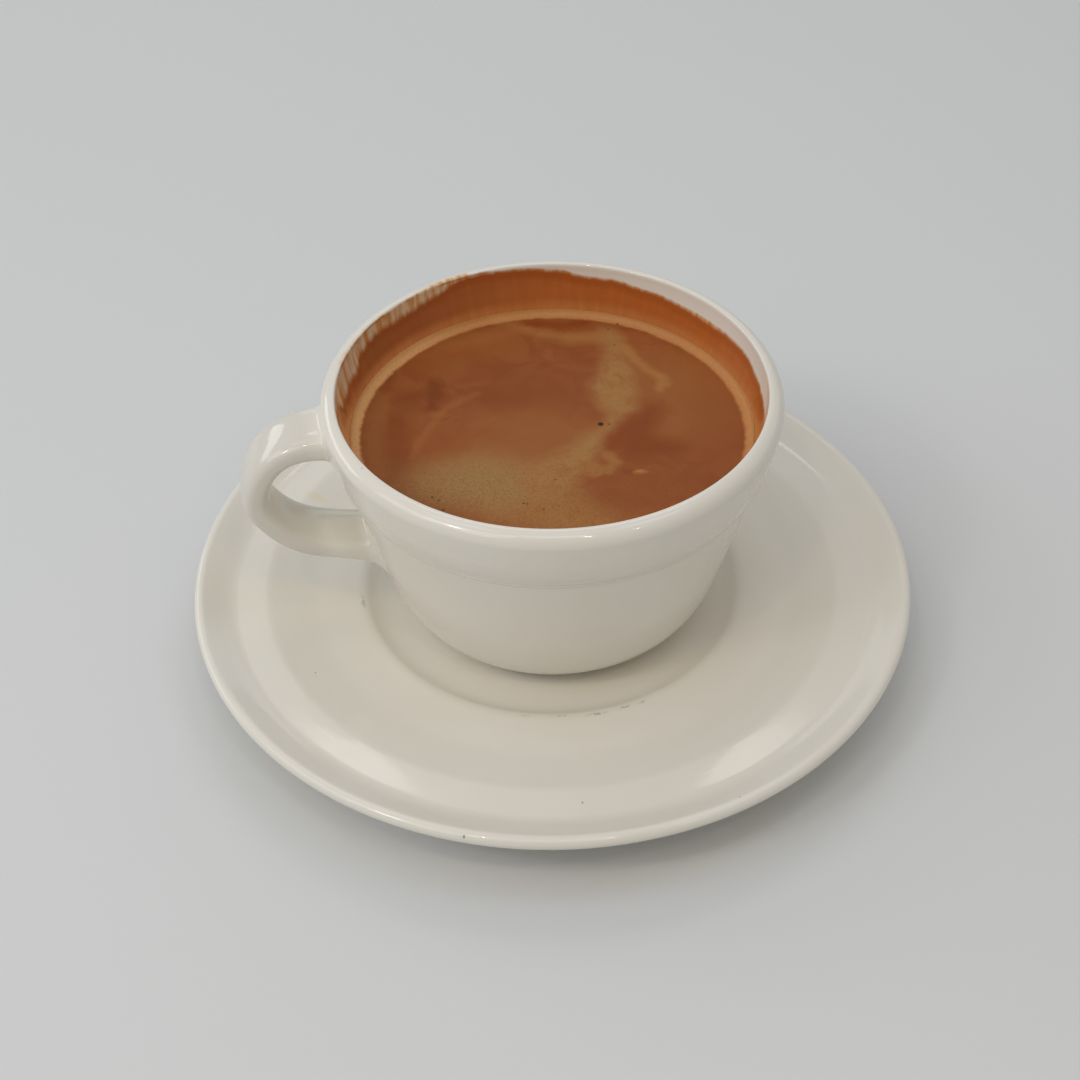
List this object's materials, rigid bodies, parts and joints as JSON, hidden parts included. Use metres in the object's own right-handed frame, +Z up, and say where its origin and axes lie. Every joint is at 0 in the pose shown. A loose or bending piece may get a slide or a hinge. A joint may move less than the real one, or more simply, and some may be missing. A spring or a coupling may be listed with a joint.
{
  "type": "americano coffee in cup and saucer",
  "caption": "Black coffee with thin tan foam in a cream glazed cup with a strap handle, standing in the well of its matching wide saucer.",
  "frame": {"origin": "centre of the saucer's foot, on the plane that the saucer stands on", "axes": "+Z up along the saucer's axis; the handle points to -X, turned 9 degrees towards -Y"},
  "size_m": [0.1634, 0.1634, 0.0681],
  "materials": {
    "saucer_glaze": "cream gloss glaze",
    "cup_glaze": "cream gloss glaze, coffee stain inside above the drink",
    "coffee": "liquid coffee under a thin tan foam"
  },
  "bodies": {
    "root": {"saucer": "saucer_glaze", "cup": "cup_glaze", "coffee": "coffee"}
  },
  "joints": []
}
